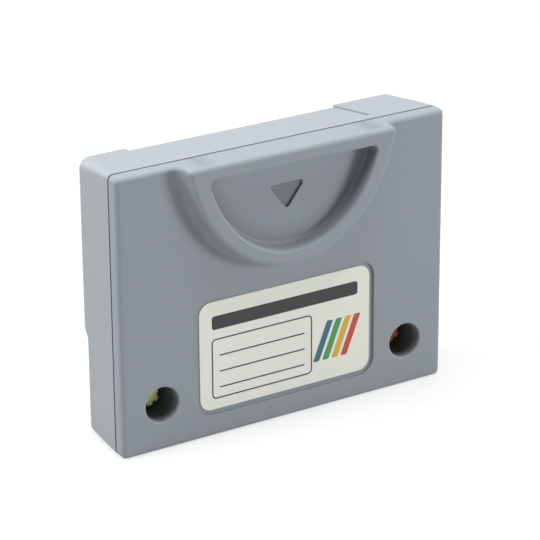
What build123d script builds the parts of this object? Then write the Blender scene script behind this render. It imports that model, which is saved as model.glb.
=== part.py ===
from build123d import *
import math
import os

# Console memory card: a plug-in cartridge that stands on its connector edge.
# Units are millimetres, +Z up, +X along the width, -Y is the labelled front.
# Depths are measured from the parting plane of the two shells, front negative,
# and the whole card is moved at the end so that its box is centred on the origin.

# Case
WIDTH = 68.4
HEIGHT = 52.75
FACE_DEPTH = 2.8            # parting plane to the flat front face
REAR_DEPTH = 11.8           # parting plane to the flat back
WALL = 1.8
TOP_CORNER = 1.0
BOTTOM_CORNER = 1.1
SIDE_DRAFT = 0.095          # inward slope of the rear shell's sides, per mm of depth
TOP_DRAFT = 0.065
SHOULDER_START = 4.0        # depth from which the rear shell's upper corners round off
SHOULDER_FLARE = 0.14       # growth of their radius behind it, per mm
FOOT_FLARE = 0.05           # the same for the lower corners
FRONT_EDGE = 0.9
BACK_EDGE = 1.4
SEAM_GAP = 0.4              # shadow gap between the shells, seen from outside
SEAM_REACH = 0.9

# Shoulder pads at the two upper corners of the back
PAD_RISE = 1.3
PAD_INNER_LEFT = 23.8
PAD_INNER_RIGHT = 19.6
PAD_FOOT = 19.65
PAD_BEVEL = 1.6
TOP_SINK = 0.3              # shallow step of the top between the pads
TOP_SINK_START = 2.2
TOP_SINK_FLARE = 0.18       # widening of the step towards the front, per mm

# Finger grip: a raised bow with a scooped floor
GRIP_RISE = 3.4
GRIP_HALF_WIDTH = 21.6
GRIP_DROP = 21.8
GRIP_CROWN = 4.0            # top of the case to the centre of the oval that the bow follows
GRIP_LIP = 2.8
LIP_SIDE = 3.5              # width of the lip along its sides
SCOOP_CORNER = 1.0
SCOOP_TOP_DEPTH = 3.2
SCOOP_FOOT_DEPTH = 2.9
SCOOP_LEAN = 0.5            # rise of the floor's foot above the lip's
SCOOP_SOFT = 0.6
LIP_EDGE = 0.45
GRIP_ROOT = 1.5

# Plain arrow sunk in the floor of the scoop, pointing the way the card goes in
ARROW_WIDTH = 8.0
ARROW_HEIGHT = 5.0
ARROW_HEAD = 7.2            # top of the case to the upper edge of the arrow
ARROW_CORNER = 0.6
ARROW_SINK = 0.45

# Label and its seat
LABEL_WIDTH = 36.2
LABEL_HEIGHT = 20.8
LABEL_FOOT = 5.15
LABEL_CORNER = 2.3
LABEL_THICKNESS = 0.15
LABEL_MARGIN = 0.9
LABEL_SEAT = 0.4

# Screws and their bosses
SCREW_SIDE = 8.2            # side of the case to the screw's axis
SCREW_Z = 8.85
ACCESS_BORE = 6.6
ACCESS_EDGE = 0.35
BOSS_WALL = 1.0
BOSS_FLOOR = 1.2
HEAD_SINK = 4.6             # front face to the top of the screw head
FLANGE_DIAMETER = 5.6
FLANGE_HEIGHT = 0.9
DRIVE_DIAMETER = 3.8
DRIVE_HEIGHT = 1.9
DRIVE_LOBES = 6
DRIVE_NOTCH = 0.9
SHANK_DIAMETER = 2.6
SHANK_LENGTH = 4.6
SHANK_POINT = 0.8
SCREW_CLEARANCE = 0.05
POST_DIAMETER = 6.4

# Snap hooks and the locating rim
HOOK_SIDE = 8.0
HOOK_WIDTH = 6.0
HOOK_THICKNESS = 1.2
HOOK_REACH = 4.6
BARB_LENGTH = 1.6
BARB_RISE = 0.8
RIM_THICKNESS = 1.0
RIM_REACH = 1.4
RIM_FOOT = 16.0
FIT = 0.15

# Circuit board
BOARD_THICKNESS = 1.2
BOARD_DEPTH = 4.4           # parting plane to the board's front face
BOARD_SIDE = 3.8            # side of the case to the board
BOARD_HEAD = 5.1            # top of the case to the board
SHOULDER_Z = 14.6
TONGUE_SIDE = 5.8           # screw's axis to the tongue
TONGUE_FOOT = 5.0
TONGUE_BEVEL = 0.35
PIN_INSET = 3.0
PIN_HEAD = 3.8
PIN_DIAMETER = 2.2
PIN_STAND = 1.6
SEAT_DIAMETER = 5.0
BOARD_CORNER = 1.0

# Edge contacts
CONTACT_COUNT = 16
CONTACT_END = 1.45          # side of the tongue to the first contact's centre
CONTACT_WIDTH = 1.7
CONTACT_LENGTH = 6.5
CONTACT_THICKNESS = 0.1
CONTACT_INSET = 0.7

# Connector mouth and the dust ribs above it
MOUTH_GAP = 0.7
RIB_Z = 13.0
RIB_THICKNESS = 1.2

# Coin cell and its welded tabs
CELL_INSET = 15.7           # side of the board to the cell's axis
CELL_DIAMETER = 20.0
CELL_HEIGHT = 3.2
CELL_CAP_DIAMETER = 17.4
CELL_CAP_STEP = 0.35
CELL_EDGE = 0.4
TAB_WIDTH = 5.0
TAB_THICKNESS = 0.2
TAB_OVERHANG = 1.6
TAB_FOOT = 2.0

# Chips in small-outline cases
CHIP_STAND_OFF = 0.1
LEAD_PITCH = 1.27
LEAD_WIDTH = 0.42
LEAD_THICKNESS = 0.2
LEAD_FOOT = 0.7
LEAD_SHOULDER = 0.5
MEMORY_INSET = 16.6         # side of the board to the middle of the chip
MEMORY_HEAD = 9.0
MEMORY_LENGTH = 18.0
MEMORY_WIDTH = 8.4
MEMORY_HEIGHT = 2.3
MEMORY_LEAD_COUNT = 28
DECODER_INSET = 11.2
DECODER_Z = 24.0
DECODER_LENGTH = 8.7
DECODER_WIDTH = 3.9
DECODER_HEIGHT = 1.5
DECODER_LEAD_COUNT = 14
SUPPLY_PITCH = 13.0         # middle of the decoder to the middle of the supply chip
SUPPLY_Z = 24.0
SUPPLY_LENGTH = 5.0
SUPPLY_WIDTH = 3.9
SUPPLY_HEIGHT = 1.5
SUPPLY_LEAD_COUNT = 8
PIN_ONE_DIMPLE = 0.9
DIMPLE_DEPTH = 0.12

# Chip capacitors and resistors
PASSIVE_LENGTH = 2.0
PASSIVE_WIDTH = 1.25
CAPACITOR_HEIGHT = 0.85
RESISTOR_HEIGHT = 0.5
PASSIVE_ROW_Z = 17.6
PASSIVE_PITCH = 3.4
PASSIVE_INSET = 6.2         # side of the board to the first capacitor's middle
CAPACITOR_COUNT = 4
RESISTOR_COUNT = 4

# Places worked out from the sizes above
LIP_Y = -FACE_DEPTH - GRIP_RISE
PAD_Y = REAR_DEPTH + PAD_RISE
CENTRE_SHIFT = -(LIP_Y + PAD_Y) / 2
INNER_FRONT = -FACE_DEPTH + WALL
INNER_BACK = REAR_DEPTH - WALL
SCREW_X = WIDTH / 2 - SCREW_SIDE
HOOK_X = WIDTH / 2 - HOOK_SIDE
HEAD_TOP = -FACE_DEPTH + HEAD_SINK
SCREW_SEAT = HEAD_TOP + DRIVE_HEIGHT + FLANGE_HEIGHT
BOSS_END = SCREW_SEAT + BOSS_FLOOR
BOARD_REAR = BOARD_DEPTH + BOARD_THICKNESS
BOARD_HALF_WIDTH = WIDTH / 2 - BOARD_SIDE
BOARD_TOP = HEIGHT - BOARD_HEAD
PIN_X = BOARD_HALF_WIDTH - PIN_INSET
PIN_Z = BOARD_TOP - PIN_HEAD
TONGUE_HALF_WIDTH = SCREW_X - TONGUE_SIDE
MOUTH_HALF_WIDTH = TONGUE_HALF_WIDTH + MOUTH_GAP
CONTACT_PITCH = 2 * (TONGUE_HALF_WIDTH - CONTACT_END) / (CONTACT_COUNT - 1)
LABEL_TOP = LABEL_FOOT + LABEL_HEIGHT
LABEL_BED = -FACE_DEPTH + LABEL_SEAT
HOOK_TOP = HEIGHT - WALL - TOP_DRAFT * HOOK_REACH - FIT
CELL_X = BOARD_HALF_WIDTH - CELL_INSET
CELL_Z = (SHOULDER_Z + BOARD_TOP) / 2
CELL_REAR = BOARD_DEPTH - TAB_THICKNESS
CELL_FRONT = CELL_REAR - CELL_HEIGHT
MEMORY_X = MEMORY_INSET - BOARD_HALF_WIDTH
MEMORY_Z = BOARD_TOP - MEMORY_HEAD
DECODER_X = DECODER_INSET - BOARD_HALF_WIDTH
SUPPLY_X = DECODER_X + SUPPLY_PITCH
CAPACITOR_START_X = PASSIVE_INSET - BOARD_HALF_WIDTH
RESISTOR_START_X = CAPACITOR_START_X + CAPACITOR_COUNT * PASSIVE_PITCH


def facing(depth):
    """Sketch plane at a depth, seen from the front: local x is X, local y is Z."""
    return Plane(origin=(0, depth, 0), x_dir=(1, 0, 0), z_dir=(0, -1, 0))


def slab(sketch, near, far):
    """Sketch drawn in X and Z, made solid from depth near back to depth far."""
    return extrude(facing(far) * sketch, amount=far - near)


def block(x0, x1, y0, y1, z0, z1):
    """Box from its six bounding planes."""
    return Pos((x0 + x1) / 2, (y0 + y1) / 2, (z0 + z1) / 2) * Box(x1 - x0, y1 - y0, z1 - z0)


def rod(x, z, diameter, near, far):
    """Round bar along the depth."""
    return slab(Pos(x, z) * Circle(diameter / 2), near, far)


def rounded_panel(half_width, foot, top, foot_radius, top_radius):
    """Upright panel with its own corner radius at the foot and at the top."""
    panel = Polygon(
        (-half_width, foot), (half_width, foot), (half_width, top), (-half_width, top), align=None)
    by_height = panel.vertices().sort_by(Axis.Y)
    lower = [tuple(v.center()) for v in by_height[:2]]
    panel = fillet(by_height[2:], top_radius)
    corners = [v for v in panel.vertices() if any((v.center() - Vector(*c)).length < 1e-6 for c in lower)]
    return fillet(corners, foot_radius)


def inner_panel(inset):
    """Front outline of the case drawn in by inset."""
    corner = max(BOTTOM_CORNER - inset, TOP_CORNER / 2)
    return rounded_panel(WIDTH / 2 - inset, inset, HEIGHT - inset, corner, TOP_CORNER / 2)


def case_section(depth, inset=0.0):
    """Outline of the rear shell at one depth, drawn in from its outside by inset."""
    half_width = WIDTH / 2 - SIDE_DRAFT * depth - inset
    top = HEIGHT - TOP_DRAFT * depth - inset
    behind = max(depth - SHOULDER_START, 0)
    top_radius = max(TOP_CORNER + SHOULDER_FLARE * behind - inset, TOP_CORNER / 2)
    foot_radius = max(BOTTOM_CORNER + FOOT_FLARE * behind - inset, TOP_CORNER / 2)
    return facing(depth) * rounded_panel(half_width, inset, top, foot_radius, top_radius)


def tapered_case(back):
    """Solid rear block from the parting plane to a rounded back."""
    body = loft([case_section(depth) for depth in (0, SHOULDER_START, back)], ruled=True)
    return fillet(body.faces().sort_by(Axis.Y)[-1].edges(), BACK_EDGE)


def pad_window(inner, depth):
    """Extent of a pad at one depth, drawn in by its bevel as it rises."""
    inset = PAD_BEVEL / PAD_RISE * (depth - REAR_DEPTH)
    return facing(depth) * Polygon(
        (inner + inset, PAD_FOOT + inset), (WIDTH, PAD_FOOT + inset),
        (WIDTH, HEIGHT + WALL), (inner + inset, HEIGHT + WALL), align=None)


def shoulder_pad(inner):
    """Raised right-hand corner of the back, bevelled along its inner and lower edges."""
    depths = (REAR_DEPTH - BACK_EDGE, PAD_Y + PAD_RISE)
    return tapered_case(PAD_Y) & loft([pad_window(inner, depth) for depth in depths], ruled=True)


def top_sink():
    """Shallow step of the top between the pads, a little wider at the front."""
    end = PAD_Y + PAD_RISE
    flare = TOP_SINK_FLARE * (REAR_DEPTH - TOP_SINK_START)
    taper = TOP_SINK_FLARE * (end - REAR_DEPTH)
    plan = Polygon(
        (-PAD_INNER_LEFT - flare, TOP_SINK_START), (PAD_INNER_RIGHT + flare, TOP_SINK_START),
        (PAD_INNER_RIGHT - taper, end), (-PAD_INNER_LEFT + taper, end), align=None)
    side = Polygon(
        (TOP_SINK_START, HEIGHT - TOP_DRAFT * TOP_SINK_START - TOP_SINK),
        (end, HEIGHT - TOP_DRAFT * end - TOP_SINK),
        (end, HEIGHT + WALL), (TOP_SINK_START, HEIGHT + WALL), align=None)
    return extrude(plan, amount=HEIGHT + WALL) & extrude(Plane.YZ * side, amount=WIDTH / 2, both=True)


def dust_rib(near, far):
    """Rib across the connector mouth that closes the case above it."""
    return block(-MOUTH_HALF_WIDTH, MOUTH_HALF_WIDTH, near, far, RIB_Z, RIB_Z + RIB_THICKNESS)


def make_rear_shell():
    """Deep tub with the shoulder pads, connector mouth, screw posts and board seats."""
    left_pad = mirror(shoulder_pad(PAD_INNER_LEFT), about=Plane.YZ)
    shell = tapered_case(REAR_DEPTH) + shoulder_pad(PAD_INNER_RIGHT) + left_pad - top_sink()
    shell -= loft([case_section(depth, WALL) for depth in (0, SHOULDER_START, INNER_BACK)], ruled=True)
    shell -= block(-MOUTH_HALF_WIDTH, MOUTH_HALF_WIDTH, -WALL, INNER_BACK, -WALL, 2 * WALL)
    for side in (-1, 1):
        post = rod(side * SCREW_X, SCREW_Z, POST_DIAMETER, BOSS_END, INNER_BACK)
        seat = rod(side * PIN_X, PIN_Z, SEAT_DIAMETER, BOARD_REAR, INNER_BACK)
        pin = rod(side * PIN_X, PIN_Z, PIN_DIAMETER, BOARD_DEPTH - PIN_STAND, BOARD_REAR)
        shell += post + seat + pin
        pilot_end = SCREW_SEAT + SHANK_LENGTH + SCREW_CLEARANCE
        shell -= rod(side * SCREW_X, SCREW_Z, SHANK_DIAMETER + 2 * SCREW_CLEARANCE, BOSS_END, pilot_end)
        shell -= block(
            side * HOOK_X - HOOK_WIDTH / 2 - FIT, side * HOOK_X + HOOK_WIDTH / 2 + FIT,
            HOOK_REACH - BARB_LENGTH - FIT, HOOK_REACH + FIT,
            HOOK_TOP - HOOK_THICKNESS, HOOK_TOP + BARB_RISE + FIT)
    shell += dust_rib(BOARD_REAR, INNER_BACK)
    return shell


def lies_on(edge, axis, value):
    """True for an edge that lies in the plane where one coordinate has a value."""
    box = edge.bounding_box()
    low = getattr(box.min, axis)
    high = getattr(box.max, axis)
    return max(abs(low - value), abs(high - value)) < 1e-4


def bow(top, side=0.0, foot=0.0):
    """Oval below a level top, centred above the case and drawn in at its sides and its foot."""
    reach = GRIP_DROP + GRIP_CROWN
    half_width = GRIP_HALF_WIDTH / math.sqrt(1 - (GRIP_CROWN / reach) ** 2)
    oval = Pos(0, HEIGHT + GRIP_CROWN) * Ellipse(half_width - side, reach - foot)
    below = Pos(0, top - GRIP_DROP) * Rectangle(2 * WIDTH, 2 * GRIP_DROP)
    return oval & below


def behind_floor(drop):
    """Everything behind the sloped floor of the scoop, set back by drop."""
    foot = HEIGHT - GRIP_DROP + GRIP_LIP
    top = HEIGHT - GRIP_LIP
    rise = (SCOOP_TOP_DEPTH - SCOOP_FOOT_DEPTH) / (top - foot)
    reach = GRIP_LIP
    floor = Polygon(
        (LIP_Y + SCOOP_FOOT_DEPTH - rise * reach + drop, foot - reach),
        (LIP_Y + SCOOP_TOP_DEPTH + rise * reach + drop, top + reach),
        (WALL, top + reach), (WALL, foot - reach), align=None)
    return extrude(Plane.YZ * floor, amount=GRIP_HALF_WIDTH, both=True)


def scoop_section(depth, lean):
    """Outline of the scoop at one depth, with its foot raised by lean."""
    mouth = bow(HEIGHT - GRIP_LIP, LIP_SIDE, GRIP_LIP + lean)
    return facing(depth) * fillet(mouth.vertices().sort_by(Axis.Y)[-2:], SCOOP_CORNER)


def scoop():
    """Hollow of the grip, with a leaning lower wall and a floor that rises towards its foot."""
    lean = SCOOP_LEAN / SCOOP_FOOT_DEPTH * -LIP_Y
    hollow = loft([scoop_section(LIP_Y, 0), scoop_section(0, lean)], ruled=True) - behind_floor(0)
    return fillet(hollow.faces().sort_by(Axis.Y)[-1].edges(), SCOOP_SOFT)


def sunk_arrow():
    """Three-cornered arrow that reaches a little behind the floor of the scoop."""
    top = HEIGHT - ARROW_HEAD
    outline = Polygon((0, top - ARROW_HEIGHT), (ARROW_WIDTH / 2, top), (-ARROW_WIDTH / 2, top), align=None)
    return slab(fillet(outline.vertices(), ARROW_CORNER), LIP_Y, 0) - behind_floor(ARROW_SINK)


def front_block():
    """Outside of the lid: a rounded plate with the bow of the grip, scooped out."""
    plate = slab(rounded_panel(WIDTH / 2, 0, HEIGHT, BOTTOM_CORNER, TOP_CORNER), -FACE_DEPTH, -SEAM_GAP)
    body = plate + slab(bow(HEIGHT), LIP_Y, -FACE_DEPTH / 2)
    grip_foot = HEIGHT - GRIP_DROP
    root = [
        e for e in body.edges()
        if lies_on(e, "Y", -FACE_DEPTH) and grip_foot - LIP_EDGE < e.center().Z < HEIGHT - LIP_EDGE
        and abs(e.center().X) < GRIP_HALF_WIDTH
    ]
    body = fillet(root, GRIP_ROOT)
    rounded = [
        e for e in body.edges()
        if lies_on(e, "Y", LIP_Y)
        or (lies_on(e, "Z", HEIGHT) and e.center().Y < -FACE_DEPTH + LIP_EDGE)
        or (lies_on(e, "Y", -FACE_DEPTH) and abs(e.center().X) > WIDTH / 2 - BOTTOM_CORNER)
        or (lies_on(e, "Y", -FACE_DEPTH) and lies_on(e, "Z", 0))
    ]
    body = fillet(rounded, FRONT_EDGE)
    body -= scoop()
    lip = body.faces().sort_by(Axis.Y)[0]
    body = fillet(lip.inner_wires()[0].edges(), LIP_EDGE) - sunk_arrow()
    return body + slab(inner_panel(SEAM_REACH), -SEAM_GAP, 0)


def make_front_shell():
    """Shallow lid with the finger grip, label seat, screw bosses and snap hooks."""
    shell = front_block()
    shell -= slab(inner_panel(WALL), INNER_FRONT, WALL)
    rim_inset = WALL + FIT + SIDE_DRAFT * RIM_REACH
    rim = slab(inner_panel(rim_inset) - inner_panel(rim_inset + RIM_THICKNESS), INNER_FRONT, RIM_REACH)
    shell += rim - block(-WIDTH, WIDTH, INNER_FRONT, RIM_REACH, 0, RIM_FOOT)
    seat = RectangleRounded(
        LABEL_WIDTH + 2 * LABEL_MARGIN, LABEL_HEIGHT + 2 * LABEL_MARGIN, LABEL_CORNER + LABEL_MARGIN)
    shell -= slab(Pos(0, (LABEL_FOOT + LABEL_TOP) / 2) * seat, -FACE_DEPTH, LABEL_BED)
    shell += dust_rib(INNER_FRONT, BOARD_DEPTH)
    for side in (-1, 1):
        shell += rod(side * SCREW_X, SCREW_Z, ACCESS_BORE + 2 * BOSS_WALL, INNER_FRONT, BOSS_END)
        shell -= rod(side * SCREW_X, SCREW_Z, ACCESS_BORE, -FACE_DEPTH, SCREW_SEAT)
        shell -= rod(side * SCREW_X, SCREW_Z, SHANK_DIAMETER + 2 * FIT, SCREW_SEAT, BOSS_END)
        pin_hole = PIN_DIAMETER + 2 * FIT
        shell += rod(side * PIN_X, PIN_Z, SEAT_DIAMETER, INNER_FRONT, BOARD_DEPTH)
        shell -= rod(side * PIN_X, PIN_Z, pin_hole, BOARD_DEPTH - PIN_STAND - FIT, BOARD_DEPTH)
        left = side * HOOK_X - HOOK_WIDTH / 2
        right = side * HOOK_X + HOOK_WIDTH / 2
        shell += block(left, right, INNER_FRONT, HOOK_REACH, HOOK_TOP - HOOK_THICKNESS, HOOK_TOP)
        barb_start = HOOK_REACH - BARB_LENGTH
        shell += block(left, right, barb_start, HOOK_REACH, HOOK_TOP - FIT, HOOK_TOP + BARB_RISE)
    bore_edges = [
        e for e in shell.edges()
        if e.geom_type == GeomType.CIRCLE and lies_on(e, "Y", -FACE_DEPTH)
        and abs(e.radius - ACCESS_BORE / 2) < 1e-4
    ]
    return fillet(bore_edges, ACCESS_EDGE)


def make_label():
    """Thin printed film in its seat on the front."""
    film = Pos(0, (LABEL_FOOT + LABEL_TOP) / 2) * RectangleRounded(LABEL_WIDTH, LABEL_HEIGHT, LABEL_CORNER)
    return slab(film, LABEL_BED - LABEL_THICKNESS, LABEL_BED)


def make_screw(side):
    """Security screw: a flanged head with a notched drive, and a plain shank."""
    x = side * SCREW_X
    drive = Circle(DRIVE_DIAMETER / 2)
    drive -= PolarLocations(DRIVE_DIAMETER / 2, DRIVE_LOBES) * Circle(DRIVE_NOTCH / 2)
    shank = rod(x, SCREW_Z, SHANK_DIAMETER, SCREW_SEAT, SCREW_SEAT + SHANK_LENGTH)
    shank = chamfer([e for e in shank.edges() if lies_on(e, "Y", SCREW_SEAT + SHANK_LENGTH)], SHANK_POINT)
    flange = rod(x, SCREW_Z, FLANGE_DIAMETER, HEAD_TOP + DRIVE_HEIGHT, SCREW_SEAT)
    return slab(Pos(x, SCREW_Z) * drive, HEAD_TOP, HEAD_TOP + DRIVE_HEIGHT) + flange + shank


def make_board():
    """Circuit board with a contact tongue between the screw bosses."""
    outline = Polygon(
        (-TONGUE_HALF_WIDTH, TONGUE_FOOT), (TONGUE_HALF_WIDTH, TONGUE_FOOT),
        (TONGUE_HALF_WIDTH, SHOULDER_Z), (BOARD_HALF_WIDTH, SHOULDER_Z),
        (BOARD_HALF_WIDTH, BOARD_TOP), (-BOARD_HALF_WIDTH, BOARD_TOP),
        (-BOARD_HALF_WIDTH, SHOULDER_Z), (-TONGUE_HALF_WIDTH, SHOULDER_Z), align=None)
    outline = fillet(outline.vertices().sort_by(Axis.Y)[-2:], BOARD_CORNER)
    board = slab(outline, BOARD_DEPTH, BOARD_REAR)
    for side in (-1, 1):
        board -= rod(side * PIN_X, PIN_Z, PIN_DIAMETER + 2 * FIT, BOARD_DEPTH, BOARD_REAR)
    foot = [
        e for e in board.edges()
        if lies_on(e, "Z", TONGUE_FOOT) and (lies_on(e, "Y", BOARD_DEPTH) or lies_on(e, "Y", BOARD_REAR))
    ]
    return chamfer(foot, TONGUE_BEVEL)


def make_contacts(near, far):
    """Row of edge contacts between two depths."""
    foot = TONGUE_FOOT + CONTACT_INSET
    row = []
    for index in range(CONTACT_COUNT):
        x = (index - (CONTACT_COUNT - 1) / 2) * CONTACT_PITCH
        row.append(block(
            x - CONTACT_WIDTH / 2, x + CONTACT_WIDTH / 2, near, far, foot, foot + CONTACT_LENGTH))
    return row


def make_cell():
    """Coin cell: the can faces the front, the cap faces the board."""
    can = rod(CELL_X, CELL_Z, CELL_DIAMETER, CELL_FRONT, CELL_REAR - CELL_CAP_STEP)
    can = chamfer([e for e in can.edges() if lies_on(e, "Y", CELL_FRONT)], CELL_EDGE)
    return can + rod(CELL_X, CELL_Z, CELL_CAP_DIAMETER, CELL_REAR - CELL_CAP_STEP, CELL_REAR)


def make_negative_tab():
    """Flat tab between the cap and the board, running out below the cell."""
    end = CELL_Z - CELL_DIAMETER / 2 - TAB_OVERHANG - TAB_FOOT
    return block(
        CELL_X - TAB_WIDTH / 2, CELL_X + TAB_WIDTH / 2, CELL_REAR, BOARD_DEPTH, end, CELL_Z + TAB_WIDTH / 2)


def make_positive_tab():
    """Bent tab from the can's face over the edge of the cell down to the board."""
    start = CELL_Z - TAB_WIDTH / 2
    bend = CELL_Z + CELL_DIAMETER / 2 + TAB_OVERHANG
    front = CELL_FRONT - TAB_THICKNESS
    strip = Polygon(
        (front, start), (front, bend), (BOARD_DEPTH - TAB_THICKNESS, bend),
        (BOARD_DEPTH - TAB_THICKNESS, bend + TAB_FOOT), (BOARD_DEPTH, bend + TAB_FOOT),
        (BOARD_DEPTH, bend - TAB_THICKNESS), (CELL_FRONT, bend - TAB_THICKNESS), (CELL_FRONT, start),
        align=None)
    return Pos(CELL_X, 0, 0) * extrude(Plane.YZ * strip, amount=TAB_WIDTH / 2, both=True)


def make_chip(x, z, length, width, height):
    """Small-outline chip body with a pin-one dimple."""
    front = BOARD_DEPTH - CHIP_STAND_OFF - height
    body = block(
        x - length / 2, x + length / 2, front, front + height, z - width / 2, z + width / 2)
    corner = (x - length / 2 + PIN_ONE_DIMPLE, z - width / 2 + PIN_ONE_DIMPLE)
    return body - rod(*corner, PIN_ONE_DIMPLE, front, front + DIMPLE_DEPTH)


def make_leads(x, z, width, height, pins):
    """Gull-wing leads along both long sides of a chip."""
    middle = CHIP_STAND_OFF + height / 2
    high = middle + LEAD_THICKNESS / 2
    low = middle - LEAD_THICKNESS / 2
    bend = LEAD_SHOULDER
    toe = LEAD_SHOULDER + LEAD_FOOT
    profile = [
        (0, low), (bend, low), (bend, 0), (toe, 0), (toe, LEAD_THICKNESS),
        (bend + LEAD_THICKNESS, LEAD_THICKNESS), (bend + LEAD_THICKNESS, high), (0, high),
    ]
    per_side = pins // 2
    leads = []
    for side in (-1, 1):
        points = [(BOARD_DEPTH - rise, z + side * (width / 2 + out)) for out, rise in profile]
        lead = extrude(Plane.YZ * Polygon(*points, align=None), amount=LEAD_WIDTH / 2, both=True)
        for index in range(per_side):
            offset = (index - (per_side - 1) / 2) * LEAD_PITCH
            leads.append(Pos(x + offset, 0, 0) * lead)
    return leads


def make_passives(start, count, height):
    """Row of small surface parts soldered to the board."""
    low = PASSIVE_ROW_Z - PASSIVE_WIDTH / 2
    row = []
    for index in range(count):
        x = start + index * PASSIVE_PITCH
        row.append(block(
            x - PASSIVE_LENGTH / 2, x + PASSIVE_LENGTH / 2,
            BOARD_DEPTH - height, BOARD_DEPTH, low, low + PASSIVE_WIDTH))
    return row


def make_nodes():
    """Every node of the card by name, as a list of its solids."""
    memory = (MEMORY_X, MEMORY_Z)
    decoder = (DECODER_X, DECODER_Z)
    supply = (SUPPLY_X, SUPPLY_Z)
    return {
        "front_shell": [make_front_shell()],
        "rear_shell": [make_rear_shell()],
        "label": [make_label()],
        "security_screws": [make_screw(-1), make_screw(1)],
        "circuit_board": [make_board()],
        "front_contacts": make_contacts(BOARD_DEPTH - CONTACT_THICKNESS, BOARD_DEPTH),
        "rear_contacts": make_contacts(BOARD_REAR, BOARD_REAR + CONTACT_THICKNESS),
        "coin_cell": [make_cell()],
        "cell_negative_tab": [make_negative_tab()],
        "cell_positive_tab": [make_positive_tab()],
        "memory_chip": [make_chip(*memory, MEMORY_LENGTH, MEMORY_WIDTH, MEMORY_HEIGHT)],
        "memory_chip_leads": make_leads(*memory, MEMORY_WIDTH, MEMORY_HEIGHT, MEMORY_LEAD_COUNT),
        "decoder_chip": [make_chip(*decoder, DECODER_LENGTH, DECODER_WIDTH, DECODER_HEIGHT)],
        "decoder_chip_leads": make_leads(*decoder, DECODER_WIDTH, DECODER_HEIGHT, DECODER_LEAD_COUNT),
        "supply_chip": [make_chip(*supply, SUPPLY_LENGTH, SUPPLY_WIDTH, SUPPLY_HEIGHT)],
        "supply_chip_leads": make_leads(*supply, SUPPLY_WIDTH, SUPPLY_HEIGHT, SUPPLY_LEAD_COUNT),
        "chip_capacitors": make_passives(CAPACITOR_START_X, CAPACITOR_COUNT, CAPACITOR_HEIGHT),
        "chip_resistors": make_passives(RESISTOR_START_X, RESISTOR_COUNT, RESISTOR_HEIGHT),
    }


def write_nodes():
    """Write one file per node, with the card's box centred on the origin."""
    os.makedirs("parts", exist_ok=True)
    for name, pieces in make_nodes().items():
        solids = [solid for piece in pieces for solid in (Pos(0, CENTRE_SHIFT, 0) * piece).solids()]
        shape = solids[0] if len(solids) == 1 else Compound(solids)
        export_step(shape, os.path.join("parts", name + ".step"))


if __name__ == "__main__":
    write_nodes()
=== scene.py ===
"""Looks of a console memory card: finishes for its solids, print on its label, light and camera."""
import math

import bpy
import numpy as np
from mathutils import Matrix, Vector


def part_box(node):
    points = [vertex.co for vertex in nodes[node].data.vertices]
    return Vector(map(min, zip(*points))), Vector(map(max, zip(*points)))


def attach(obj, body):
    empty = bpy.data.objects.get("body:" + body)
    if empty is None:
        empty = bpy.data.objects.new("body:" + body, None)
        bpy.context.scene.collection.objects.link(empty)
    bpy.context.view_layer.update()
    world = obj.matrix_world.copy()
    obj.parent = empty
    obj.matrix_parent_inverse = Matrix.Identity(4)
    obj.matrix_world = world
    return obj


MM = 0.001

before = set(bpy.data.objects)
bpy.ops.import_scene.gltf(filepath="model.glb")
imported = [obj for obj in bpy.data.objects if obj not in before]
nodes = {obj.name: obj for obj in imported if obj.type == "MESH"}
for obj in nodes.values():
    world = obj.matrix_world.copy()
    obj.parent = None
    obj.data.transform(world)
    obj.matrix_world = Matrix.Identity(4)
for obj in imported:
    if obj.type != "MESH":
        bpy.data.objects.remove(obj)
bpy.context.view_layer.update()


def linear(code):
    """sRGB hex colour as linear RGBA."""
    values = np.array([int(code[i:i + 2], 16) for i in (1, 3, 5)]) / 255
    low = values / 12.92
    high = ((values + 0.055) / 1.055) ** 2.4
    return (*np.where(values <= 0.04045, low, high).tolist(), 1.0)


def per_metre(size_mm):
    """Texture scale whose features are size_mm across."""
    return 1 / (size_mm * MM)


def add(tree, kind, output, inputs, **settings):
    """Add a node with its settings and links, and give back one of its outputs."""
    node = tree.nodes.new(kind)
    for name, value in settings.items():
        setattr(node, name, value)
    for key, value in inputs.items():
        if isinstance(value, bpy.types.NodeSocket):
            tree.links.new(value, node.inputs[key])
        else:
            node.inputs[key].default_value = value
    return node.outputs[output]


def start_material(name, **constants):
    """New material: its tree and the Object coordinates that its patterns read."""
    material = bpy.data.materials.new(name)
    material.use_nodes = True
    tree = material.node_tree
    for key, value in constants.items():
        tree.nodes["Principled BSDF"].inputs[key.replace("_", " ")].default_value = value
    return material, tree, add(tree, "ShaderNodeTexCoord", "Object", {})


def dress(material, **patterns):
    """Lead patterns into the sockets of the material's shader."""
    shader = material.node_tree.nodes["Principled BSDF"]
    for key, value in patterns.items():
        material.node_tree.links.new(value, shader.inputs[key.replace("_", " ")])
    return material


def oval_distance(tree, place, x, z, half_width, half_height):
    """Distance from an oval's centre across the card, as a share of the way to its line; sizes in mm."""
    scaled = add(tree, "ShaderNodeMapping", "Vector", {
        "Vector": place, "Scale": (1 / (half_width * MM), 0.0, 1 / (half_height * MM)),
        "Location": (-x / half_width, 0.0, -z / half_height)})
    return add(tree, "ShaderNodeVectorMath", "Value", {0: scaled}, operation="LENGTH")


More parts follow.
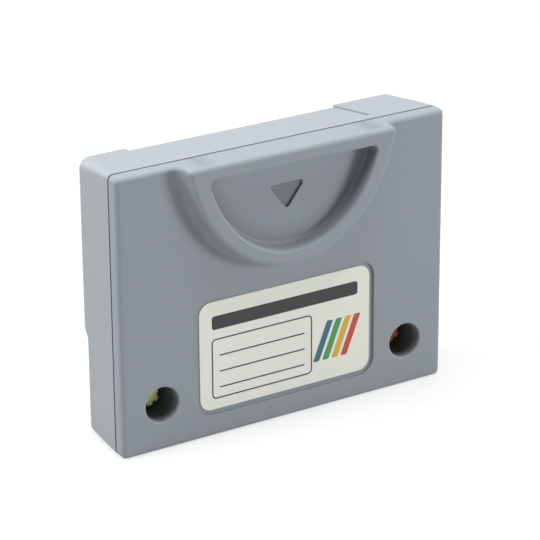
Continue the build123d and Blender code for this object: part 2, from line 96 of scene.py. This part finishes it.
def bore_painted_shade(tree, place, depth):
    """Share of painted shade on the walls of the two screw bores, from their mouths down to the screw
    heads.
    """
    left = oval_distance(tree, place, -BORE_X, BORE_Z, BORE_RADIUS, BORE_RADIUS)
    right = oval_distance(tree, place, BORE_X, BORE_Z, BORE_RADIUS, BORE_RADIUS)
    nearest = add(tree, "ShaderNodeMath", 0, {0: left, 1: right}, operation="MINIMUM")
    inside = add(tree, "ShaderNodeMapRange", "Result", {
        "Value": nearest, "From Min": 1.04, "From Max": 1.01, "To Max": BORE_PAINTED_SHADE})
    deep = add(tree, "ShaderNodeMapRange", "Result", {
        "Value": depth, "From Min": FACE_Y * MM, "From Max": (FACE_Y + BORE_FADE) * MM})
    return add(tree, "ShaderNodeMath", 0, {0: inside, 1: deep}, operation="MULTIPLY")


def scoop_painted_shade(tree, place, depth):
    """Share of painted shade on the scoop's floor, rising to the foot of the wall that follows the oval.
    """
    oval = oval_distance(tree, place, 0.0, OVAL_Z, OVAL_HALF_WIDTH, OVAL_HALF_HEIGHT)
    apart = add(tree, "ShaderNodeMath", 0, {0: oval, 1: WALL_FOOT}, operation="SUBTRACT")
    off_line = add(tree, "ShaderNodeMath", 0, {0: apart}, operation="ABSOLUTE")
    at_wall = add(tree, "ShaderNodeMapRange", "Result", {
        "Value": off_line, "From Min": PAINTED_SHADE_REACH, "From Max": 0.0, "To Max": SCOOP_PAINTED_SHADE})
    below_lip = add(tree, "ShaderNodeMapRange", "Result", {
        "Value": depth, "From Min": (LIP_Y + 0.5) * MM, "From Max": (LIP_Y + 1.5) * MM})
    return add(tree, "ShaderNodeMath", 0, {0: at_wall, 1: below_lip}, operation="MULTIPLY")


def moulded_abs(name, dull, bright, shade_recesses=False):
    """ABS from an etched mould: an even satin grain, faint flow clouds, rub marks and dust specks, and
    where asked, painted shade in the bores and the scoop.
    """
    material, tree, place = start_material(name, IOR=1.53)
    clouds = add(tree, "ShaderNodeTexNoise", "Fac", {
        "Vector": place, "Scale": per_metre(14.0), "Detail": 3.0})
    body = add(tree, "ShaderNodeMix", 2, {0: clouds, 6: linear(dull), 7: linear(bright)}, data_type="RGBA")
    # Dust caught in the pores: points of a sparse cell pattern that happen to lie in the surface.
    cells = add(tree, "ShaderNodeTexVoronoi", "Distance", {"Vector": place, "Scale": per_metre(6.0)})
    dust = add(tree, "ShaderNodeMapRange", "Result", {
        "Value": cells, "From Min": 0.026, "From Max": 0.018, "To Max": 0.5})
    colour = add(tree, "ShaderNodeMix", 2, {0: dust, 6: body, 7: linear("#5A4632")}, data_type="RGBA")
    if shade_recesses:
        # Painted shade: the colour darkens down in the bores and in the corner of the scoop, where these
        # recesses fall into shade.
        depth = add(tree, "ShaderNodeSeparateXYZ", "Y", {"Vector": place})
        painted_shade = add(tree, "ShaderNodeMath", 0, {
            0: bore_painted_shade(tree, place, depth), 1: scoop_painted_shade(tree, place, depth)}, operation="MAXIMUM")
        colour = add(tree, "ShaderNodeMix", 2, {
            0: painted_shade, 6: colour, 7: linear("#35382F")}, data_type="RGBA")
    # The real grain is about 0.05 mm; it is drawn at 0.2 mm so that it shows in the render.
    grain = add(tree, "ShaderNodeTexNoise", "Fac", {
        "Vector": place, "Scale": per_metre(0.2), "Detail": 2.0})
    # Rub marks from the slot run along the way the card goes in, so the pattern is drawn out along Z.
    drawn_out = add(tree, "ShaderNodeMapping", "Vector", {"Vector": place, "Scale": (1.0, 1.0, 0.08)})
    rubs = add(tree, "ShaderNodeTexNoise", "Fac", {
        "Vector": drawn_out, "Scale": per_metre(1.2), "Detail": 4.0})
    gloss = add(tree, "ShaderNodeMath", 0, {0: grain, 1: rubs}, operation="ADD")
    satin = add(tree, "ShaderNodeMapRange", "Result", {
        "Value": gloss, "From Min": 0.6, "From Max": 1.4, "To Min": 0.54, "To Max": 0.70})
    skin = add(tree, "ShaderNodeBump", "Normal", {
        "Height": grain, "Distance": 0.02 * MM, "Strength": 0.35})
    return dress(material, Base_Color=colour, Roughness=satin, Normal=skin)


def label_film():
    """Printed polyester film: a cream face with a faint yellowing cloud and a satin overcoat."""
    material, tree, place = start_material(
        "satin polyester label film", Coat_Weight=0.12, Coat_Roughness=0.35)
    clouds = add(tree, "ShaderNodeTexNoise", "Fac", {
        "Vector": place, "Scale": per_metre(7.0), "Detail": 3.0})
    colour = add(tree, "ShaderNodeMix", 2, {
        0: clouds, 6: linear("#EDEFE4"), 7: linear("#F3F4EB")}, data_type="RGBA")
    # The film's coating grain is finer than a tenth of a millimetre; it is drawn at 0.3 mm.
    coating = add(tree, "ShaderNodeTexNoise", "Fac", {
        "Vector": place, "Scale": per_metre(0.3), "Detail": 3.0})
    satin = add(tree, "ShaderNodeMapRange", "Result", {"Value": coating, "To Min": 0.40, "To Max": 0.52})
    skin = add(tree, "ShaderNodeBump", "Normal", {
        "Height": coating, "Distance": 0.004 * MM, "Strength": 0.3})
    return dress(material, Base_Color=colour, Roughness=satin, Normal=skin)


def printing_ink(name, thin, full):
    """Screen-printed ink: a dense field that thins a little between the threads of the mesh."""
    material, tree, place = start_material(name)
    mesh = add(tree, "ShaderNodeTexNoise", "Fac", {
        "Vector": place, "Scale": per_metre(0.25), "Detail": 3.0})
    colour = add(tree, "ShaderNodeMix", 2, {0: mesh, 6: linear(thin), 7: linear(full)}, data_type="RGBA")
    satin = add(tree, "ShaderNodeMapRange", "Result", {"Value": mesh, "To Min": 0.38, "To Max": 0.52})
    skin = add(tree, "ShaderNodeBump", "Normal", {"Height": mesh, "Distance": 0.003 * MM, "Strength": 0.3})
    return dress(material, Base_Color=colour, Roughness=satin, Normal=skin)


def plated_metal(name, dull, bright, streak_mm, smooth, rough):
    """Rolled and plated metal: streaks drawn along the width, with a changing gloss."""
    material, tree, place = start_material(name, Metallic=1.0)
    drawn_out = add(tree, "ShaderNodeMapping", "Vector", {"Vector": place, "Scale": (0.12, 1.0, 1.0)})
    streaks = add(tree, "ShaderNodeTexNoise", "Fac", {
        "Vector": drawn_out, "Scale": per_metre(streak_mm), "Detail": 3.0})
    colour = add(tree, "ShaderNodeMix", 2, {
        0: streaks, 6: linear(dull), 7: linear(bright)}, data_type="RGBA")
    polish = add(tree, "ShaderNodeMapRange", "Result", {
        "Value": streaks, "To Min": smooth, "To Max": rough})
    skin = add(tree, "ShaderNodeBump", "Normal", {
        "Height": streaks, "Distance": 0.004 * MM, "Strength": 0.4})
    return dress(material, Base_Color=colour, Roughness=polish, Normal=skin)


def zinc_passivate():
    """Zinc plate with a rainbow passivate: the film's tint drifts from yellow green to copper."""
    material, tree, place = start_material("yellow passivated zinc plate", Metallic=1.0)
    along = add(tree, "ShaderNodeSeparateXYZ", "X", {"Vector": place})
    drift = add(tree, "ShaderNodeMapRange", "Result", {
        "Value": along, "From Min": -20 * MM, "From Max": 20 * MM})
    film = add(tree, "ShaderNodeMix", 2, {
        0: drift, 6: linear("#DCE59A"), 7: linear("#E08A4C")}, data_type="RGBA")
    stains = add(tree, "ShaderNodeTexNoise", "Fac", {
        "Vector": place, "Scale": per_metre(0.9), "Detail": 3.0})
    stained = add(tree, "ShaderNodeMapRange", "Result", {"Value": stains, "To Max": 0.4})
    colour = add(tree, "ShaderNodeMix", 2, {0: stained, 6: film, 7: linear("#6B6A4E")}, data_type="RGBA")
    polish = add(tree, "ShaderNodeMapRange", "Result", {"Value": stains, "To Min": 0.28, "To Max": 0.5})
    skin = add(tree, "ShaderNodeBump", "Normal", {
        "Height": stains, "Distance": 0.01 * MM, "Strength": 0.3})
    return dress(material, Base_Color=colour, Roughness=polish, Normal=skin)


def solder_mask():
    """Glass laminate under green mask: copper runs show as paler lines below the gloss."""
    material, tree, place = start_material(
        "green solder mask on glass laminate", Coat_Weight=0.4, Coat_Roughness=0.12)
    upright = add(tree, "ShaderNodeMapping", "Vector", {
        "Vector": place, "Rotation": (math.pi / 2, 0.0, 0.0)})
    runs = {
        "Vector": upright, "Scale": per_metre(6.0), "Mortar Size": 0.03, "Brick Width": 1.4,
        "Row Height": 0.35, "Color1": linear("#1E5A32"), "Color2": linear("#22633A"),
        "Mortar": linear("#3C8A52")}
    colour = add(tree, "ShaderNodeTexBrick", "Color", runs)
    copper = add(tree, "ShaderNodeTexBrick", "Fac", runs)
    gloss = add(tree, "ShaderNodeMapRange", "Result", {"Value": copper, "To Min": 0.34, "To Max": 0.26})
    skin = add(tree, "ShaderNodeBump", "Normal", {
        "Height": copper, "Distance": 0.03 * MM, "Strength": 0.3})
    return dress(material, Base_Color=colour, Roughness=gloss, Normal=skin)


def grained_solid(name, body, fleck, grain_mm, smooth, rough):
    """Moulded epoxy or fired ceramic: a matt body with a sandy fleck of its filler."""
    material, tree, place = start_material(name)
    sand = add(tree, "ShaderNodeTexNoise", "Fac", {
        "Vector": place, "Scale": per_metre(grain_mm), "Detail": 3.0})
    colour = add(tree, "ShaderNodeMix", 2, {0: sand, 6: linear(body), 7: linear(fleck)}, data_type="RGBA")
    matt = add(tree, "ShaderNodeMapRange", "Result", {"Value": sand, "To Min": smooth, "To Max": rough})
    skin = add(tree, "ShaderNodeBump", "Normal", {"Height": sand, "Distance": 0.01 * MM, "Strength": 0.5})
    return dress(material, Base_Color=colour, Roughness=matt, Normal=skin)


# Places of the lid's bores, its scoop's oval and its faces, in millimetres, as moulded
BORE_X = 26.0
BORE_Z = 8.85
BORE_RADIUS = 3.3
OVAL_Z = 56.75
OVAL_HALF_WIDTH = 18.36
OVAL_HALF_HEIGHT = 22.7
FACE_Y = -6.25
LIP_Y = -9.65
# Painted shade in the recesses: its greatest share, how far down a bore it takes to get there, and its
# reach from the scoop's wall
BORE_PAINTED_SHADE = 0.62
BORE_FADE = 2.5
SCOOP_PAINTED_SHADE = 0.24
WALL_FOOT = 0.97
PAINTED_SHADE_REACH = 0.15

FINISHES = {
    # The lid's colour carries painted shade in its bores and its scoop.
    "front_shell": moulded_abs("moulded grey ABS, lid", "#8E969C", "#949CA2", True),
    "rear_shell": moulded_abs("moulded grey ABS, tub", "#969CA1", "#9CA2A7"),
    "label": label_film(),
    "security_screws": zinc_passivate(),
    "circuit_board": solder_mask(),
    "coin_cell": plated_metal("bright nickel plated steel", "#B4B3AE", "#D2D1CC", 0.4, 0.22, 0.36),
    "chip_capacitors": grained_solid("fired tan ceramic", "#9A7A55", "#A98A64", 0.3, 0.4, 0.55),
    "chip_resistors": grained_solid("glazed black ceramic", "#17181A", "#232426", 0.3, 0.3, 0.45),
}
GOLD = plated_metal("hard gold plate", "#C99A3F", "#E4BC66", 0.3, 0.2, 0.34)
NICKEL = plated_metal("rolled nickel strip", "#A9A8A2", "#C6C5BF", 0.3, 0.26, 0.42)
TIN = plated_metal("tinned copper alloy", "#B3B6B9", "#CDD0D2", 0.25, 0.28, 0.45)
EPOXY = grained_solid("moulded black epoxy", "#1A1B1D", "#26272A", 0.12, 0.5, 0.75)
for ending, finish in (("contacts", GOLD), ("tab", NICKEL), ("leads", TIN), ("chip", EPOXY)):
    FINISHES.update({name: finish for name in nodes if name.endswith(ending)})
for name, node in nodes.items():
    node.data.materials.clear()
    node.data.materials.append(FINISHES[name])

# Print on the label, and painted shade in the arrow, in millimetres: x along the width, z up.
# Ink starts a little inside what carries it, so that no gap shows, and the rest of its build stands proud.
INK_SINK = 0.01
INK_BUILD = 0.03
label_low, label_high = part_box("label")
label_centre = (label_low + label_high) / 2 / MM
label_face = label_low.y / MM


def rounded_patch(x, z, width, height, corner, slant=0.0, columns=9, rows=25):
    """Grid of a rounded field: x = u (w/2 - inset) + slant z, with the inset a quarter circle at each end.

    Rows are packed towards the ends, z = h/2 sin(v pi/2), so that the corners come out round.
    """
    v = np.linspace(-1, 1, rows)
    up = np.sin(v * math.pi / 2) * height / 2
    edge = np.minimum(height / 2 - np.abs(up), corner)
    inset = corner - np.sqrt(np.maximum(corner ** 2 - (corner - edge) ** 2, 0))
    across = np.linspace(-1, 1, columns)[None, :] * (width / 2 - inset)[:, None]
    return x + across + slant * up[:, None], np.broadcast_to(z + up[:, None], across.shape), False


def keyline(x, z, width, height, corner, line, steps=64):
    """Closed line round a field: a straight profile of the line's width carried along a rounded path.

    The path at angle t is a corner's centre, with the signs of cos t and sin t, plus the corner's radius
    along t; the profile steps that radius from half a line inside to half a line outside.
    """
    t = (np.arange(steps) + 0.5) / steps * 2 * math.pi
    radius = corner + np.array([[-0.5], [0.5]]) * line
    across = np.sign(np.cos(t)) * (width / 2 - corner) + radius * np.cos(t)
    up = np.sign(np.sin(t)) * (height / 2 - corner) + radius * np.sin(t)
    return x + across, z + up, True


def rounded_triangle(x, top, width, height, corner, columns=9, rows=48):
    """Grid of a rounded three-cornered field that points down: rows from side to side of its outline.

    The outline at angle t is the corner that lies furthest along t, of the field drawn in by the corner
    radius, plus that radius along t; row t runs from minus to plus the outline's x, at its height.
    """
    slope = math.hypot(width / 2, height)
    reach = width / 2 - corner * (slope + width / 2) / height
    tip = height - corner * slope / (width / 2)
    centres = np.array([[reach, -corner], [0.0, -tip]])
    t = ((np.arange(rows) + 0.5) / rows - 0.5) * math.pi
    along = np.stack([np.cos(t), np.sin(t)], -1)
    outline = centres[np.argmax(along @ centres.T, 1)] + corner * along
    across = np.linspace(-1, 1, columns) * outline[:, :1]
    return x + across, np.broadcast_to(top + outline[:, 1:], across.shape), False


def print_layer(name, ink, fields, near, lean=0.0):
    """One ink's fields as a mesh, each field a grid of quads at depth near + lean z."""
    points, faces, start = [], [], 0
    for across, up, closed in fields:
        rows, columns = across.shape
        field = np.stack([across, near + lean * up + INK_SINK, up], -1)
        points.append(field.reshape(-1, 3) * MM)
        index = start + np.arange(rows * columns).reshape(rows, columns)
        if closed:
            index = np.concatenate([index, index[:, :1]], 1)
        quads = np.stack([index[:-1, :-1], index[:-1, 1:], index[1:, 1:], index[1:, :-1]], -1)
        faces.append((quads[..., ::-1] if closed else quads).reshape(-1, 4))
        start += rows * columns
    mesh = bpy.data.meshes.new(name)
    mesh.from_pydata(np.concatenate(points).tolist(), [], np.concatenate(faces).tolist())
    mesh.materials.append(ink)
    piece = bpy.data.objects.new(name, mesh)
    bpy.context.scene.collection.objects.link(piece)
    film = piece.modifiers.new("ink build", "SOLIDIFY")
    film.thickness = INK_BUILD * MM
    film.offset = 1.0
    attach(piece, "root")


BLACK_INK = printing_ink("screen-printed black ink", "#2C2E31", "#1F2124")
# A grey darker than the shell, laid in the sunk arrow as painted shade.
ARROW_SHADE_PAINT = printing_ink("grey paint as painted shade in the arrow", "#767C81", "#6E7479")
STRIPE_INKS = {
    "teal": printing_ink("screen-printed teal ink", "#2E6F80", "#276475"),
    "green": printing_ink("screen-printed green ink", "#4E9A57", "#458E4E"),
    "amber": printing_ink("screen-printed amber ink", "#E8B241", "#DDA52F"),
    "rust": printing_ink("screen-printed rust ink", "#C4513A", "#B64630"),
}

LABEL_X = label_centre.x
LABEL_Z = label_centre.z
LINE_WIDTH = 0.25
HEADING_RISE = 6.3
HEADING_WIDTH = 31.0
HEADING_HEIGHT = 2.6
HEADING_CORNER = 0.5
PANEL_X = LABEL_X - 5.0
PANEL_Z = LABEL_Z - 2.6
PANEL_WIDTH = 21.0
PANEL_HEIGHT = 11.4
PANEL_CORNER = 0.8
RULE_LENGTH = 18.0
RULE_CORNER = 0.1
RULE_RISES = (2.5, -0.6, -3.7)
STRIPES_X = LABEL_X + 11.0
STRIPE_WIDTH = 1.35
STRIPE_HEIGHT = 7.6
STRIPE_CORNER = 0.3
STRIPE_SLANT = 0.4
STRIPE_PITCH = 2.0
heading = rounded_patch(LABEL_X, LABEL_Z + HEADING_RISE, HEADING_WIDTH, HEADING_HEIGHT, HEADING_CORNER)
panel = keyline(PANEL_X, PANEL_Z, PANEL_WIDTH, PANEL_HEIGHT, PANEL_CORNER, LINE_WIDTH)
rules = [
    rounded_patch(PANEL_X, PANEL_Z + rise, RULE_LENGTH, LINE_WIDTH, RULE_CORNER) for rise in RULE_RISES]
print_layer("label_print_black", BLACK_INK, [heading, panel, *rules], label_face)
for step, (colour, ink) in enumerate(STRIPE_INKS.items()):
    x = STRIPES_X + (step - (len(STRIPE_INKS) - 1) / 2) * STRIPE_PITCH
    stripe = rounded_patch(x, PANEL_Z, STRIPE_WIDTH, STRIPE_HEIGHT, STRIPE_CORNER, STRIPE_SLANT)
    print_layer("label_print_" + colour, ink, [stripe], label_face)

# Floor of the arrow that is sunk in the scoop: its upper edge, size, depth and lean, as moulded.
# The paint, a grey darker than the shell that paints the shade of the sunk arrow, stops short of the
# arrow's walls by a small margin.
ARROW_TOP = 45.55
ARROW_WIDTH = 8.0
ARROW_HEIGHT = 5.0
ARROW_CORNER = 0.6
ARROW_FLOOR = -6.0815
FLOOR_LEAN = 0.0185
ARROW_MARGIN = 0.08
arrow = rounded_triangle(
    0.0, ARROW_TOP - ARROW_MARGIN, ARROW_WIDTH - 4 * ARROW_MARGIN, ARROW_HEIGHT - 3 * ARROW_MARGIN,
    ARROW_CORNER)
arrow_near = ARROW_FLOOR - FLOOR_LEAN * ARROW_TOP
print_layer("arrow_painted_shade", ARROW_SHADE_PAINT, [arrow], arrow_near, FLOOR_LEAN)

# Floor, world and lamps: the drop below the card in millimetres, the lamps and the floor's size in metres
FLOOR_DROP = 0.05
FLOOR_SIZE = 3.0
SHADOW_SHARE = 0.3


def seen_directly(tree):
    """1 for camera, mirror and see-through rays, 0 for the light that falls on the card."""
    camera_ray = add(tree, "ShaderNodeLightPath", "Is Camera Ray", {})
    glossy_ray = add(tree, "ShaderNodeLightPath", "Is Glossy Ray", {})
    clear_ray = add(tree, "ShaderNodeLightPath", "Is Transmission Ray", {})
    either = add(tree, "ShaderNodeMath", 0, {0: camera_ray, 1: glossy_ray}, operation="MAXIMUM")
    return add(tree, "ShaderNodeMath", 0, {0: either, 1: clear_ray}, operation="MAXIMUM")


def pale_floor():
    """White paper sweep: a plain grey reflector to the card, and near white where it is seen.

    What is seen is mostly the sweep's own white, with a share of lit paper that keeps the card's shadow.
    """
    mesh = bpy.data.meshes.new("floor")
    half = FLOOR_SIZE / 2
    corners = np.array([[-half, -half], [half, -half], [half, half], [-half, half]])
    points = np.column_stack([corners, np.full(4, -FLOOR_DROP * MM)])
    mesh.from_pydata(points.tolist(), [], [(0, 1, 2, 3)])
    floor = bpy.data.objects.new("floor", mesh)
    bpy.context.scene.collection.objects.link(floor)
    material, tree, place = start_material("white paper sweep", Roughness=0.9)
    fibre = add(tree, "ShaderNodeTexNoise", "Fac", {"Vector": place, "Scale": per_metre(2.0)})
    reflector = add(tree, "ShaderNodeMix", 2, {
        0: fibre, 6: linear("#B4B4B4"), 7: linear("#BABABA")}, data_type="RGBA")
    paper = add(tree, "ShaderNodeMix", 2, {
        0: seen_directly(tree), 6: reflector, 7: linear("#F2F2F2")}, data_type="RGBA")
    dress(material, Base_Color=paper)
    white = add(tree, "ShaderNodeEmission", "Emission", {"Color": linear("#FFFFFF"), "Strength": 1.0})
    share = add(tree, "ShaderNodeMath", 0, {
        0: seen_directly(tree), 1: 1 - SHADOW_SHARE}, operation="MULTIPLY")
    both = add(tree, "ShaderNodeMixShader", 0, {
        0: share, 1: tree.nodes["Principled BSDF"].outputs[0], 2: white})
    tree.links.new(both, tree.nodes["Material Output"].inputs["Surface"])
    mesh.materials.append(material)


def white_world(level):
    """Plain white backdrop, with a softer level for the light it gives."""
    world = bpy.data.worlds.new("white studio")
    bpy.context.scene.world = world
    world.use_nodes = True
    tree = world.node_tree
    soft = tree.nodes["Background"]
    soft.inputs["Color"].default_value = linear("#FFFFFF")
    soft.inputs["Strength"].default_value = level
    white = add(tree, "ShaderNodeBackground", "Background", {"Color": linear("#FFFFFF"), "Strength": 1.0})
    both = add(tree, "ShaderNodeMixShader", 0, {0: seen_directly(tree), 1: soft.outputs[0], 2: white})
    tree.links.new(both, tree.nodes["World Output"].inputs["Surface"])


def softbox(name, place, size, watts):
    """Square area lamp at a place, turned to the middle of the card."""
    lamp = bpy.data.lights.new(name, "AREA")
    lamp.shape = "SQUARE"
    lamp.size = size
    lamp.energy = watts
    box = bpy.data.objects.new(name, lamp)
    box.location = place
    box.rotation_euler = (CARD_MIDDLE - Vector(place)).to_track_quat("-Z", "Y").to_euler()
    bpy.context.scene.collection.objects.link(box)


CARD_MIDDLE = Vector((0.0, 0.0, 0.026))
WORLD_LEVEL = 0.04
pale_floor()
white_world(WORLD_LEVEL)
softbox("top softbox", (0.0, 0.0, 0.7), 0.5, 5.9)
softbox("right softbox", (0.65, -0.6, 0.12), 0.25, 3.85)
softbox("left softbox", (-0.55, 0.1, 0.4), 0.3, 2.8)
softbox("rear softbox", (-0.15, 0.8, 0.1), 0.4, 1.8)

# Camera fitted to the card's seam lines, label corners and bores in the photograph
CAMERA_PLACE = (-0.23752, -0.37857, 0.20799)
CAMERA_YAW = math.radians(-32.157)
CAMERA_PITCH = math.radians(22.087)
CAMERA_ROLL = math.radians(-0.385)
SENSOR = 36.0
LENS = 178.18
lens = bpy.data.cameras.new("camera")
lens.sensor_width = SENSOR
lens.lens = LENS
camera = bpy.data.objects.new("camera", lens)
camera.matrix_world = (
    Matrix.Translation(CAMERA_PLACE) @ Matrix.Rotation(CAMERA_YAW, 4, "Z")
    @ Matrix.Rotation(math.pi / 2 - CAMERA_PITCH, 4, "X") @ Matrix.Rotation(CAMERA_ROLL, 4, "Z"))
bpy.context.scene.collection.objects.link(camera)
bpy.context.scene.camera = camera
bpy.context.scene.view_settings.view_transform = "Standard"
